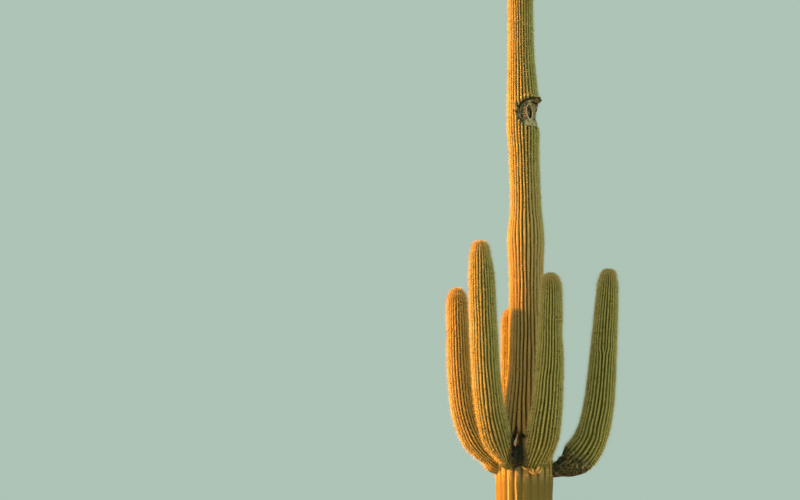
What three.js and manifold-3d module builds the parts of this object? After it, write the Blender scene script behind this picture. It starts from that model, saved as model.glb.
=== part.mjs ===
// Saguaro cactus: a ribbed trunk standing on the ground with five upturned arms.
// Millimetres, +Z up, origin at the middle of the flat cut at ground level.
// Bearings are degrees round the trunk: 0 points to +X, 90 to +Y, 270 to the viewer.
import * as THREE from 'three';
import Module from 'manifold-3d';

const wasm = await Module();
wasm.setup();

// Overall sizes
const TRUNK_HEIGHT = 8000;
const TRUNK_DOME = 290;
const ARM_DOME = 170;
const DOME_POWER = 2.4;
const GAP = 0.3;
const RIB_FLANK_GROWTH = 0.45;

// Trunk girth: [height, radius over the rib crests]
const TRUNK_GIRTH = [
  [0, 338], [110, 300], [320, 272], [1050, 262], [1700, 276], [2250, 287], [2480, 282],
  [2700, 260], [2920, 232], [3120, 208], [3300, 193], [3870, 177], [4380, 174], [4560, 181],
  [4700, 186], [4850, 177], [5010, 163], [5400, 155], [5620, 155], [5830, 164], [6240, 149],
  [6680, 136], [7710, 127], [8000, 122],
];

// Sideways sway of the trunk's axis, towards +X
const SWAY_OUT = { size: 40, from: 2300, to: 3900 };
const SWAY_BACK = { size: 26, from: 5000, to: 6700 };

// Ribs: 28 on the upper trunk, of which six pairs join on the way down to make 22
const TRUNK_RIBS = 28;
const JOINING_PAIRS = [1, 6, 11, 15, 20, 24];
const JOIN_FROM = 2350;
const JOIN_TO = 2850;
const TRUNK_RIB_DEPTH = 21;
const FOOT_RIB_DEPTH = 9;
const ARM_RIB_DEPTH = 17;

// Old nest hole in the trunk, with the sunken skin round it and its callus collar
const NEST = {
  bearing: 301,
  height: 5995,
  halfWidth: 26,
  halfHeight: 60,
  depth: 105,
  dentBearing: 322,
  dentSpread: 46,
  dentHeight: 5945,
  dentHalfHeight: 105,
  dent: 22,
  lipHeight: 6095,
  lip: 9,
  collarWidth: 56,
  collarHeight: 88,
  collarTube: 17,
};

// Arms: each leaves the trunk at rootHeight, climbing at the angle `leave`, and turns upright
// within about `turn`; girths are radii over the rib crests, and the top narrows by `narrowing`
const ARMS = [
  {
    name: 'arm_left_outer', bearing: 187, rootOut: 294, rootHeight: 2447, leave: 37.8, upright: 88.8,
    turn: 445, length: 1860, split: 600, ribs: 24, neck: 93, belly: 131, shoulder: 115, swell: 337,
    narrowing: 0.08,
  },
  {
    name: 'arm_left_front', bearing: 231, rootOut: 300, rootHeight: 2437, leave: 50, upright: 87.5,
    turn: 530, length: 2249, split: 690, ribs: 26, neck: 98, belly: 151, shoulder: 130, swell: 341,
    narrowing: 0.17,
  },
  {
    name: 'arm_back_left', bearing: 104, rootOut: 234, rootHeight: 2520, leave: 45.3, upright: 90.2,
    turn: 190, length: 1570, split: 420, ribs: 24, neck: 105, belly: 130, shoulder: 111, swell: 350,
    narrowing: 0.05,
  },
  {
    name: 'arm_right_front', bearing: 292, rootOut: 283, rootHeight: 2455, leave: 55, upright: 87.8,
    turn: 600, length: 1890, split: 620, ribs: 26, neck: 150, belly: 167, shoulder: 107, swell: 305,
    neckFlatness: 0.5, narrowing: 0.05,
  },
  {
    name: 'arm_right_outer', bearing: 357, rootOut: 287, rootHeight: 2371, leave: 13.7, upright: 85.4,
    turn: 428, length: 2248, split: 620, ribs: 26, neck: 94, belly: 178, shoulder: 108, swell: 307,
    narrowing: 0.05,
  },
];
const ROOT_INSIDE = 120;
const ROOT_LEVELLING = 60;
const NECK_FLATNESS = 0.74;
const NARROWING_LENGTH = 380;

// Small healed pieces on the trunk's front
const FOLD = {
  below: 'arm_right_front', bearing: 284, height: 2350, out: 276, halfWidth: 88, halfHeight: 42, halfDepth: 40,
};
const BUD = { bearing: 250, height: 2520, out: 235, leave: 66, length: 200, radius: 34, ribs: 8 };

const COLOURS = {
  trunk: '#8c7c42',
  arm: '#86793f',
  callus: '#77705c',
  fold: '#b08a62',
  bud: '#4a4432',
};

const radians = (degrees) => (degrees * Math.PI) / 180;

function ease(from, to, value) {
  const share = Math.min(1, Math.max(0, (value - from) / (to - from)));
  return share * share * (3 - 2 * share);
}

// Value at `at` in a list of [place, value], with smooth steps between the places
function alongStations(stations, at) {
  const last = stations.length - 1;
  if (at >= stations[last][0]) return stations[last][1];
  let index = 0;
  while (at > stations[index + 1][0]) index += 1;
  const [lowPlace, lowValue] = stations[index];
  const [highPlace, highValue] = stations[index + 1];
  const before = stations[Math.max(0, index - 1)];
  const after = stations[Math.min(last, index + 2)];
  const span = highPlace - lowPlace;
  const lowSlope = (highValue - before[1]) / (highPlace - before[0]);
  const highSlope = (after[1] - lowValue) / (after[0] - lowPlace);
  const t = (at - lowPlace) / span;
  return (
    lowValue * (1 + 2 * t) * (1 - t) ** 2 +
    lowSlope * span * t * (1 - t) ** 2 +
    highValue * t * t * (3 - 2 * t) +
    highSlope * span * t * t * (t - 1)
  );
}

function domeShare(distanceToTip, dome) {
  const q = Math.max(0, 1 - distanceToTip / dome);
  return Math.sqrt(Math.max(0, 1 - q ** DOME_POWER));
}

// Points round one ribbed ring as {turn, crest}: turn in radians, crest 0 in a groove, 1 on a crest.
// `joined` is the share by which each joining pair of ribs has become one rib
function ribPoints(count, pairs, joined) {
  const widths = new Array(count).fill(1);
  pairs.forEach((first) => {
    widths[first] -= joined / 2;
    widths[first + 1] -= joined / 2;
  });
  const total = widths.reduce((sum, width) => sum + width, 0);
  const points = [];
  let start = 0;
  for (let rib = 0; rib < count; rib += 1) {
    const pairStart = pairs.includes(rib);
    const pairEnd = pairs.includes(rib - 1);
    [0, 0.5].forEach((q) => {
      const alone = Math.sin(Math.PI * q);
      const inPair = pairEnd ? 0.5 + q / 2 : q / 2;
      const crest = pairStart || pairEnd ? alone + (Math.sin(Math.PI * inPair) - alone) * joined : alone;
      points.push({ turn: ((start + q * widths[rib]) / total) * 2 * Math.PI, crest });
    });
    start += widths[rib];
  }
  return points;
}

// Closed solid through equal rings: a flat fan over the first ring, and a point or fan at the end
function solidFromRings(rings, tip) {
  const count = rings[0].length;
  const positions = rings.flat().flatMap((point) => point.toArray());
  const firstCentre = rings[0].reduce((sum, point) => sum.add(point), new THREE.Vector3());
  firstCentre.divideScalar(count);
  const firstIndex = rings.length * count;
  const tipIndex = firstIndex + 1;
  positions.push(...firstCentre.toArray(), ...tip.toArray());
  const triangles = [];
  for (let point = 0; point < count; point += 1) {
    const next = (point + 1) % count;
    triangles.push(firstIndex, next, point);
    for (let ring = 0; ring < rings.length - 1; ring += 1) {
      const low = ring * count;
      const high = low + count;
      triangles.push(low + point, low + next, high + next, low + point, high + next, high + point);
    }
    const top = (rings.length - 1) * count;
    triangles.push(top + point, top + next, tipIndex);
  }
  return new wasm.Manifold(
    new wasm.Mesh({
      numProp: 3,
      vertProperties: new Float32Array(positions),
      triVerts: new Uint32Array(triangles),
    }),
  );
}

const trunkAxis = (height) => new THREE.Vector3(
  SWAY_OUT.size * ease(SWAY_OUT.from, SWAY_OUT.to, height) -
    SWAY_BACK.size * ease(SWAY_BACK.from, SWAY_BACK.to, height),
  0,
  height,
);

// Sunken skin below and beside the nest hole, and the lip above it
function nestRelief(turn, height) {
  const away = Math.atan2(
    Math.sin(turn - radians(NEST.dentBearing)),
    Math.cos(turn - radians(NEST.dentBearing)),
  );
  const around = Math.exp(-((away / radians(NEST.dentSpread)) ** 4));
  const sunken = Math.exp(-(((height - NEST.dentHeight) / NEST.dentHalfHeight) ** 4));
  const lip = Math.exp(-(((height - NEST.lipHeight) / 45) ** 2));
  return around * (NEST.lip * lip - NEST.dent * sunken);
}

function trunkRing(height, growth) {
  const centre = trunkAxis(height);
  const dome = domeShare(TRUNK_HEIGHT - height, TRUNK_DOME);
  const crestRadius = alongStations(TRUNK_GIRTH, height) * dome;
  const depth = (FOOT_RIB_DEPTH + (TRUNK_RIB_DEPTH - FOOT_RIB_DEPTH) * ease(0, 900, height)) * dome;
  const joined = 1 - ease(JOIN_FROM, JOIN_TO, height);
  return ribPoints(TRUNK_RIBS, JOINING_PAIRS, joined).map(({ turn, crest }) => {
    const radius = crestRadius - depth * (1 - crest) + nestRelief(turn, height) + growth;
    return new THREE.Vector3(radius * Math.cos(turn), radius * Math.sin(turn), 0).add(centre);
  });
}

const TRUNK_LEVELS = [
  0, 60, 140, 320, 1050, 2250, 2400, 2550, 2700, 2850, 3000, 3300, 3870, 4380, 4560, 4700, 4850,
  5010, 5400, 5700, 5820, 5880, 6010, 6050, 6095, 6150, 6300, 6700, 7710, 7850, 7930, 7975,
];

function trunkSolid(growth) {
  const rings = TRUNK_LEVELS.map((height) => trunkRing(height, growth));
  return solidFromRings(rings, trunkAxis(TRUNK_HEIGHT + growth));
}

// Centre line of a limb in the upright plane at its bearing, as a function of the length along it
const AXIS_STEP = 5;
function limbAxis(limb) {
  const bearing = radians(limb.bearing);
  const outward = new THREE.Vector3(Math.cos(bearing), Math.sin(bearing), 0);
  const up = new THREE.Vector3(0, 0, 1);
  const side = new THREE.Vector3(-Math.sin(bearing), Math.cos(bearing), 0);
  const root = trunkAxis(limb.rootHeight).addScaledVector(outward, limb.rootOut);
  const headingAt = (length) => {
    if (length < 0) return radians(limb.leave * Math.max(0.2, 1 + length / ROOT_LEVELLING));
    return radians(limb.upright + (limb.leave - limb.upright) * Math.exp(-((length / limb.turn) ** 1.5)));
  };
  return (length) => {
    const point = root.clone();
    const steps = Math.max(1, Math.round(Math.abs(length) / AXIS_STEP));
    for (let step = 0; step < steps; step += 1) {
      const heading = headingAt(((step + 0.5) * length) / steps);
      point.addScaledVector(outward, (Math.cos(heading) * length) / steps);
      point.addScaledVector(up, (Math.sin(heading) * length) / steps);
    }
    const heading = headingAt(length);
    const inner = outward.clone().multiplyScalar(-Math.sin(heading)).addScaledVector(up, Math.cos(heading));
    return { point, side, inner };
  };
}

function limbRadius(limb, length) {
  const swollen = limb.neck + (limb.belly - limb.neck) * ease(0, limb.swell, length);
  const tapered = Math.max(0, (length - limb.swell) / (limb.length - limb.swell));
  const narrowed = 1 - (limb.narrowing ?? 0) * ease(NARROWING_LENGTH, 0, limb.length - length);
  return (swollen + (limb.shoulder - limb.belly) * tapered) * narrowed;
}

function limbRing(limb, axisAt, length) {
  const { point, side, inner } = axisAt(length);
  const dome = domeShare(limb.length - length, limb.dome ?? ARM_DOME);
  const crestRadius = limbRadius(limb, length) * dome;
  const depth = (limb.ribDepth ?? ARM_RIB_DEPTH) * dome;
  const flat = limb.neckFlatness ?? NECK_FLATNESS;
  const flatness = flat + (1 - flat) * ease(-ROOT_INSIDE, limb.swell, length);
  return ribPoints(limb.ribs, [], 0).map(({ turn, crest }) => {
    const radius = crestRadius - depth * (1 - crest);
    return point.clone()
      .addScaledVector(side, radius * Math.cos(turn))
      .addScaledVector(inner, -radius * flatness * Math.sin(turn));
  });
}

function limbSolid(limb, lengths, closesAtTip) {
  const axisAt = limbAxis(limb);
  const rings = lengths.map((length) => limbRing(limb, axisAt, length).reverse());
  const end = closesAtTip ? limb.length : lengths[lengths.length - 1];
  return solidFromRings(rings, axisAt(end).point);
}

const spread = (from, to, steps) => Array.from(
  { length: steps + 1 },
  (_, step) => from + ((to - from) * step) / steps,
);

const DOME_SHARES = [0.5, 0.8, 0.95];
const ELBOW_STEPS = 4;
const UPRIGHT_STEPS = 5;

function elbowSolid(arm) {
  const outside = spread(0, arm.split - GAP / 2, ELBOW_STEPS);
  return limbSolid(arm, [-ROOT_INSIDE, ...outside], false);
}

function uprightSolid(arm) {
  const shaft = spread(arm.split + GAP / 2, arm.length - ARM_DOME, UPRIGHT_STEPS);
  const dome = DOME_SHARES.map((share) => arm.length - ARM_DOME * (1 - share));
  return limbSolid(arm, [...shaft, ...dome], true);
}

// Callus collar: a closed tube that follows the trunk's skin round the nest hole
function collarSolid(tube) {
  const steps = 16;
  const sides = 6;
  const positions = [];
  const triangles = [];
  for (let step = 0; step < steps; step += 1) {
    const turn = (step / steps) * 2 * Math.PI;
    const height = NEST.height + NEST.collarHeight * Math.sin(turn);
    const skin = alongStations(TRUNK_GIRTH, height) - TRUNK_RIB_DEPTH * 0.6;
    const bearing = radians(NEST.bearing) + (NEST.collarWidth * Math.cos(turn)) / skin;
    const path = skin + nestRelief(bearing, height);
    const centre = trunkAxis(height);
    const outward = new THREE.Vector3(Math.cos(bearing), Math.sin(bearing), 0);
    const across = new THREE.Vector3(-Math.sin(bearing), Math.cos(bearing), 0);
    const spoke = across.multiplyScalar(Math.cos(turn)).add(new THREE.Vector3(0, 0, Math.sin(turn)));
    for (let side = 0; side < sides; side += 1) {
      const angle = (side / sides) * 2 * Math.PI;
      const point = centre.clone()
        .addScaledVector(outward, path + tube * Math.cos(angle))
        .addScaledVector(spoke, tube * Math.sin(angle));
      positions.push(...point.toArray());
      const nextStep = ((step + 1) % steps) * sides;
      const thisStep = step * sides;
      const nextSide = (side + 1) % sides;
      triangles.push(thisStep + side, thisStep + nextSide, nextStep + nextSide);
      triangles.push(thisStep + side, nextStep + nextSide, nextStep + side);
    }
  }
  const solid = new wasm.Manifold(
    new wasm.Mesh({
      numProp: 3,
      vertProperties: new Float32Array(positions),
      triVerts: new Uint32Array(triangles),
    }),
  );
  return solid;
}

// Ellipsoid with its depth axis along a bearing from the trunk's axis
function ellipsoid(bearing, height, out, halfDepth, halfWidth, halfHeight, segments) {
  const axis = trunkAxis(height);
  return wasm.Manifold.sphere(1, segments)
    .scale([halfDepth, halfWidth, halfHeight])
    .translate([out, 0, 0])
    .rotate([0, 0, bearing])
    .translate([axis.x, axis.y, height]);
}

function foldSolid(growth) {
  return ellipsoid(
    FOLD.bearing, FOLD.height, FOLD.out,
    FOLD.halfDepth + growth, FOLD.halfWidth + growth, FOLD.halfHeight + growth, 24,
  );
}

const BUD_LIMB = {
  bearing: BUD.bearing,
  rootOut: BUD.out,
  rootHeight: BUD.height,
  leave: BUD.leave,
  upright: BUD.leave,
  turn: BUD.length,
  length: BUD.length,
  ribs: BUD.ribs,
  ribDepth: 7,
  dome: 60,
  neck: BUD.radius * 0.8,
  belly: BUD.radius,
  shoulder: BUD.radius * 0.8,
  swell: BUD.length / 2,
};

function budSolid() {
  const lengths = [0, 45, 90, BUD.length - 60, BUD.length - 30, BUD.length - 10];
  return limbSolid(BUD_LIMB, lengths, true);
}

// Keeps the largest connected body of a cut solid
function oneBody(solid) {
  return solid.decompose().reduce((best, body) => (body.volume() > best.volume() ? body : best));
}

const grownTrunk = trunkSolid(RIB_FLANK_GROWTH);
const elbows = Object.fromEntries(
  ARMS.map((arm) => [arm.name, oneBody(elbowSolid(arm).subtract(grownTrunk))]),
);
const nestPocket = ellipsoid(
  NEST.bearing, NEST.height, 150, NEST.depth, NEST.halfWidth, NEST.halfHeight, 24,
);
const trunk = oneBody(
  trunkSolid(0).subtract(collarSolid(NEST.collarTube + GAP * 1.3)).subtract(nestPocket),
);
const armOverFold = ARMS.find((arm) => arm.name === FOLD.below);
const grownArmOverFold = elbowSolid({ ...armOverFold, neck: armOverFold.neck + 1, belly: armOverFold.belly + 1 });

const fold = oneBody(foldSolid(0).subtract(grownTrunk).subtract(grownArmOverFold));

const bodies = [
  ['trunk', trunk, COLOURS.trunk],
  ['nest_hole_collar', oneBody(collarSolid(NEST.collarTube)), COLOURS.callus],
  ['fold_under_right_front_arm', fold, COLOURS.fold],
  ['dried_bud', oneBody(budSolid().subtract(grownTrunk)), COLOURS.bud],
];
ARMS.forEach((arm) => {
  bodies.push([`${arm.name}_elbow`, elbows[arm.name], COLOURS.arm]);
  bodies.push([`${arm.name}_upright`, uprightSolid(arm), COLOURS.arm]);
});

function meshFrom(name, solid, colour) {
  const { vertProperties, triVerts } = solid.getMesh();
  const geometry = new THREE.BufferGeometry();
  geometry.setAttribute('position', new THREE.BufferAttribute(new Float32Array(vertProperties), 3));
  geometry.setIndex(new THREE.BufferAttribute(new Uint32Array(triVerts), 1));
  geometry.computeVertexNormals();
  const material = new THREE.MeshStandardMaterial({ color: colour, roughness: 0.8, metalness: 0 });
  const mesh = new THREE.Mesh(geometry, material);
  mesh.name = name;
  return mesh;
}

const plant = new THREE.Group();
plant.name = 'saguaro_cactus';
bodies.forEach(([name, solid, colour]) => plant.add(meshFrom(name, solid, colour)));

export default plant;
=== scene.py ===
import math
from types import SimpleNamespace as Named

import bpy
import numpy as np
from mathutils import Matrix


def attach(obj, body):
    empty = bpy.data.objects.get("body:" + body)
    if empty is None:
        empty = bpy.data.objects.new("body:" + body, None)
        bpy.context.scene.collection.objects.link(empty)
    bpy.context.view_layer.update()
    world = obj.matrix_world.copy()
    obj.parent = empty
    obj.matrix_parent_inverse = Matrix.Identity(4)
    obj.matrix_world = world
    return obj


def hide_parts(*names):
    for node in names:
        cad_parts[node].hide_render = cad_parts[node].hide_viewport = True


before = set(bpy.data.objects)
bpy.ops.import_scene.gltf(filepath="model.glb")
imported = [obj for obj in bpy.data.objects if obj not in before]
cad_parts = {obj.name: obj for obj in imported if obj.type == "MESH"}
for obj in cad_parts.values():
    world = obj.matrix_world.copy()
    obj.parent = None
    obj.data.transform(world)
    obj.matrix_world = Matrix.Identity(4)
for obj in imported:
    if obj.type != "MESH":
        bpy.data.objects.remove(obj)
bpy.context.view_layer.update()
SEED = 11
FULL_TURN = 2 * math.pi
UP = np.array([0.0, 0.0, 1.0])

# Trunk: heights and radii over the rib crests, as in the solids
TRUNK_HEIGHT = 8.0
TRUNK_GIRTH = [
    (0, 0.338), (0.11, 0.3), (0.32, 0.272), (1.05, 0.262), (1.7, 0.276), (2.25, 0.287),
    (2.48, 0.282), (2.7, 0.26), (2.92, 0.232), (3.12, 0.208), (3.3, 0.193), (3.87, 0.177),
    (4.38, 0.174), (4.56, 0.181), (4.7, 0.186), (4.85, 0.177), (5.01, 0.163), (5.4, 0.155),
    (5.62, 0.155), (5.83, 0.164), (6.24, 0.149), (6.68, 0.136), (7.71, 0.127), (8.0, 0.122),
]
SWAY_OUT = (0.04, 2.3, 3.9)
SWAY_BACK = (0.026, 5.0, 6.7)
TRUNK_RIBS = 28
TRUNK_PAIRS = [1, 6, 11, 15, 20, 24]
TRUNK_JOIN = (2.35, 2.85)
TRUNK_RIB_DEPTH, LOW_RIB_DEPTH, FOOT_RIB_DEPTH, ARM_RIB_DEPTH = 0.031, 0.009, 0.008, 0.027
FULLER_RIGHT, FULLER_OVER_NEST, SLIMMER_LEFT, ROOT_LIFT = 0.012, 0.014, 0.01, 0.012

# Domed tips: the curve's power, and how far the skin stays under the solids for the spines' sake
DOME_POWER = 2.4
SKIN_INSET, TIP_INSET, TIP_DROP = 0.01, 0.005, 0.016
DOME_STEPS = np.array([0, 0.2, 0.38, 0.53, 0.66, 0.77, 0.86, 0.93, 0.97, 0.99])

# Fine relief: size, waves' scale and seed
TRUNK_WAVES, SCAR_WAVES, BARK_WAVES = (0.0022, 9, 3), (0.0035, 70, 4), (0.003, 55, 5)
ARM_WAVES, SCAB_WAVES = (0.0018, 11, 6), (0.005, 60, 7)
STRAND_SCALE = 150

# Arms: the solids' rule, with the same bearings, lengths and girths. The skin's own values are
# pairs (first rib of a pair, joined below, parted above), bulges (length from the tip, half
# length, left and right lift), under (lift of the root's underside, its middle and half length),
# old (share of darker skin painted as shade over the lower part, full and none at these lengths),
# warm (share of brighter brown skin, cut on the shaded right side as painted shade) and
# smooth_root (share of smooth skin at the root).
ROOT_INSIDE = 0.12
ROOT_LEVELLING = 0.06
NARROWING_LENGTH = 0.38
USUAL_ARM = dict(
    flat=0.74, bulges=[], under=(0, 0, 1), old=(0.4, 0.15, 0.9), warm=0, smooth_root=0)
ARM_ROWS = {
    "arm_left_outer": dict(
        bearing=187, out=0.294, height=2.447, leave=37.8, upright=88.8, turn=0.445, length=1.86,
        ribs=24, neck=0.093, belly=0.131, shoulder=0.115, swell=0.337, narrowing=0.08,
        pairs=[(3, 0.95, 1.15)], under=(0.052, -0.01, 0.065), old=(0.2, 0.15, 0.9), warm=0.8,
        smooth_root=0.7),
    "arm_left_front": dict(
        bearing=231, out=0.3, height=2.437, leave=50.0, upright=87.5, turn=0.53, length=2.249,
        ribs=26, neck=0.098, belly=0.151, shoulder=0.13, swell=0.341, narrowing=0.17,
        pairs=[(9, 1.05, 1.3), (17, 0.55, 0.75)], under=(-0.03, 0.03, 0.13), warm=0.35,
        bulges=[(0.012, 0.028, 0.04, 0.0), (0.13, 0.095, 0.0, -0.022)]),
    "arm_back_left": dict(
        bearing=104, out=0.234, height=2.52, leave=45.3, upright=90.2, turn=0.19, length=1.57,
        ribs=24, neck=0.105, belly=0.13, shoulder=0.111, swell=0.35, narrowing=0.05,
        pairs=[(6, 0.7, 0.9)], warm=0.5),
    "arm_right_front": dict(
        bearing=292, out=0.283, height=2.455, leave=55.0, upright=87.8, turn=0.6, length=1.89,
        ribs=26, neck=0.15, belly=0.167, shoulder=0.107, swell=0.305, narrowing=0.05, flat=0.5,
        pairs=[(22, 0.8, 1.0)],
        bulges=[(0.03, 0.045, 0.04, 0.0), (0.604, 0.13, 0.0, -0.011)]),
    "arm_right_outer": dict(
        bearing=357, out=0.287, height=2.371, leave=13.7, upright=85.4, turn=0.428, length=2.248,
        ribs=26, neck=0.094, belly=0.178, shoulder=0.108, swell=0.307, narrowing=0.05,
        pairs=[(5, 0.5, 0.66), (12, 1.34, 1.43)], old=(0.55, 0.2, 0.62),
        bulges=[(0.012, 0.028, 0.012, 0.036), (0.085, 0.045, -0.008, -0.01)]),
}
ARMS = {name: Named(**{**USUAL_ARM, **row}) for name, row in ARM_ROWS.items()}

# Nest hole, its sunken skin and the healed zone round it; the niche, painted near-black as shade,
# and the cleft's dark marking, partly staining and partly painted shade
NEST = Named(bearing=302, height=5.995, half_width=0.045, half_height=0.076, depth=0.095)
DENT = Named(bearing=322, spread=46, height=5.945, half_height=0.105, size=0.021)
SWELL = Named(height=6.125, half_height=0.038, size=0.013)
SCAR = Named(
    bearing=312, half_turn=74, height=5.99, above=0.163, below=0.15, power=2.4, recess=0.012,
    left_recess=0.018, lip=0.022)
RIM = Named(
    bearing=301.5, height=6.004, half_width=0.043, half_height=0.086, tube=0.0072, inset=0.026,
    girth=0.15, places=56)
NICHE = Named(bearing=250, height=2.5, half_width=0.04, half_height=0.135, depth=0.035)
CLEFT_X, CLEFT_HEIGHT = -0.083, 2.64

# Marks on the skin: kind, turn and length at both ends of a stroke, half width and lift in mm.
# Turns are bearings on the trunk and ring turns on an arm. The dark strokes are painted shade in
# the shadow under the scar's upper lip, in creases, pits and the cleft's slot, with some dark
# spots of the skin.
MARKS = {
    "trunk": [
        ("dark", 247, 6.052, 262, 6.088, 9, 4), ("dark", 262, 6.088, 281, 6.121, 11, 8),
        ("dark", 281, 6.121, 300, 6.138, 12, 14), ("dark", 300, 6.142, 330, 6.152, 9, 18),
        ("dark", 330, 6.152, 364, 6.14, 9, 20), ("grey", 308, 6.13, 352, 6.128, 5, 16),
        ("dark", 316, 6.108, 350, 6.108, 11, 6), ("pale", 298, 6.112, 304, 6.112, 8, 8),
        ("dark", 344, 6.108, 366, 6.098, 8, 24), ("grey", 268, 6.102, 312, 6.112, 8, -6),
        ("dark", 255, 6.062, 252, 6.0, 6, -9), ("pale", 259, 6.062, 256, 6.01, 4, 7),
        ("dark", 263, 6.076, 260, 5.994, 6, -10), ("pale", 267, 6.072, 264, 6.02, 4, 7),
        ("dark", 271.5, 6.086, 269, 6.01, 6, -9), ("pink", 281, 6.04, 280, 5.966, 24, 10),
        ("dark", 271, 6.02, 287, 6.026, 4, -5), ("dark", 271, 5.994, 286, 6.0, 4, -5),
        ("dark", 270, 5.97, 286, 5.974, 4, -5), ("dark", 263, 5.968, 266, 5.948, 12, -9),
        ("pale", 234, 6.036, 243, 6.046, 9, 9), ("pale", 236, 5.996, 235, 5.975, 8, 5),
        ("dark", 239, 6.01, 241, 6.002, 11, -14), ("grey", 243, 5.985, 247, 5.945, 15, 0),
        ("pale", 329, 6.084, 341, 6.012, 10, 12), ("grey", 352, 6.076, 356, 6.042, 18, 26),
        ("dark", 341, 6.056, 343, 6.044, 9, -6), ("dark", 319, 6.06, 315, 5.935, 8, -10),
        ("pale", 326, 6.01, 322, 5.935, 6, 8), ("dark", 335, 6.0, 330, 5.93, 7, -9),
        ("pale", 286, 5.886, 340, 5.89, 36, 4), ("dark", 290, 5.905, 298, 5.9, 5, -4),
        ("dark", 310, 5.884, 313, 5.87, 5, -4), ("dark", 326, 5.905, 331, 5.896, 5, -4),
        ("dark", 280, 5.845, 344, 5.856, 6, -9), ("dark", 286, 5.842, 286, 5.816, 8, -10),
        ("dark", 327, 5.853, 327, 5.826, 9, -10), ("dark", 250, 5.938, 270, 5.893, 7, -6),
        ("dark", 245.3, 2.79, 245.6, 2.772, 15, -14), ("dark", 245.6, 2.772, 248, 2.7, 4, -6),
        ("dark", 262, 2.705, 267, 2.692, 14, -6), ("dark", 241, 2.7, 242, 2.69, 10, -6),
        # The two long pale strokes below the front arms are painted highlights on lit rib crests.
        ("dark", 230.5, 2.412, 232, 2.4, 10, -6), ("pale", 233.6, 2.372, 232.4, 1.9, 5, 6),
        ("pale", 249.3, 2.372, 251.4, 1.9, 5, 6), ("dark", 262, 2.425, 256, 2.405, 9, -4),
    ],
    "arm_right_outer": [
        ("dark", 214, 0.52, 215, 0.53, 9, -6), ("dark", 222, 0.33, 223, 0.34, 9, -6),
        ("dark", 160, 0.36, 161, 0.37, 9, -6), ("pink", 205, 0.16, 190, 0.2, 10, 0),
    ],
    "arm_right_front": [("dark", 186, 0.97, 186, 0.99, 10, -6)],
}
MARK_KINDS = ("dark", "pale", "pink", "grey")
AREOLE_SPACING = 0.023


def ease(low, high, value):
    """Smooth step from 0 at low to 1 at high, which may lie below low."""
    share = np.clip((value - low) / (high - low), 0, 1)
    return share * share * (3 - 2 * share)


def bump_at(middle, half, value, power=2):
    """One at the middle, falling to about a third at half on either side."""
    return np.exp(-np.abs((value - middle) / half) ** power)


def along_stations(stations, at):
    """The solids' smooth steps through (place, value) stations."""
    places, values = np.array(stations).T
    at = np.clip(at, places[0], places[-1])
    low = np.clip(np.searchsorted(places, at, side="left") - 1, 0, len(places) - 2)
    before, after = np.maximum(low - 1, 0), np.minimum(low + 2, len(places) - 1)
    span = places[low + 1] - places[low]
    low_slope = (values[low + 1] - values[before]) / (places[low + 1] - places[before])
    high_slope = (values[after] - values[low]) / (places[after] - places[low])
    t = (at - places[low]) / span
    return (
        values[low] * (1 + 2 * t) * (1 - t) ** 2
        + low_slope * span * t * (1 - t) ** 2
        + values[low + 1] * t * t * (3 - 2 * t)
        + high_slope * span * t * t * (t - 1)
    )


def wrapped(degrees):
    return (degrees + 180) % 360 - 180


def unit(vectors):
    return vectors / np.linalg.norm(vectors, axis=-1, keepdims=True)


def waves(points, size, scale, seed, count=14):
    """Smooth noise of about the size over points, from waves in random directions."""
    dice = np.random.default_rng(seed)
    total = np.zeros(len(points))
    for _ in range(count):
        direction = dice.normal(size=3)
        direction *= dice.uniform(0.6, 1.5) * scale / np.linalg.norm(direction)
        total += np.sin(points @ direction + dice.uniform(0, FULL_TURN))
    return size * (total / math.sqrt(count / 2) / 1.6)


def crest_profile(q):
    """Height over one rib, from groove (q 0) over the crest to the next groove (q 1)."""
    return np.sin(math.pi * np.clip(q, 0, 1)) ** 0.8


def cleft_stain_and_shade(points):
    """Dark marking on whatever faces the cleft between the two front arms: partly real staining,
    partly painted shade.
    """
    x, y, height = points.T
    across = (x - CLEFT_X) / (0.085 + 0.06 * ease(2.6, 2.42, height))
    upward = (height - CLEFT_HEIGHT) / np.where(height > CLEFT_HEIGHT, 0.13, 0.3)
    column = np.exp(-((across**2 + upward**2) ** 1.3))
    bar = bump_at(CLEFT_X + 0.02, 0.085, x, 4) * bump_at(CLEFT_HEIGHT + 0.05, 0.04, height)
    return np.maximum(column, 0.9 * bar) * ease(-0.05, -0.15, y)


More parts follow.
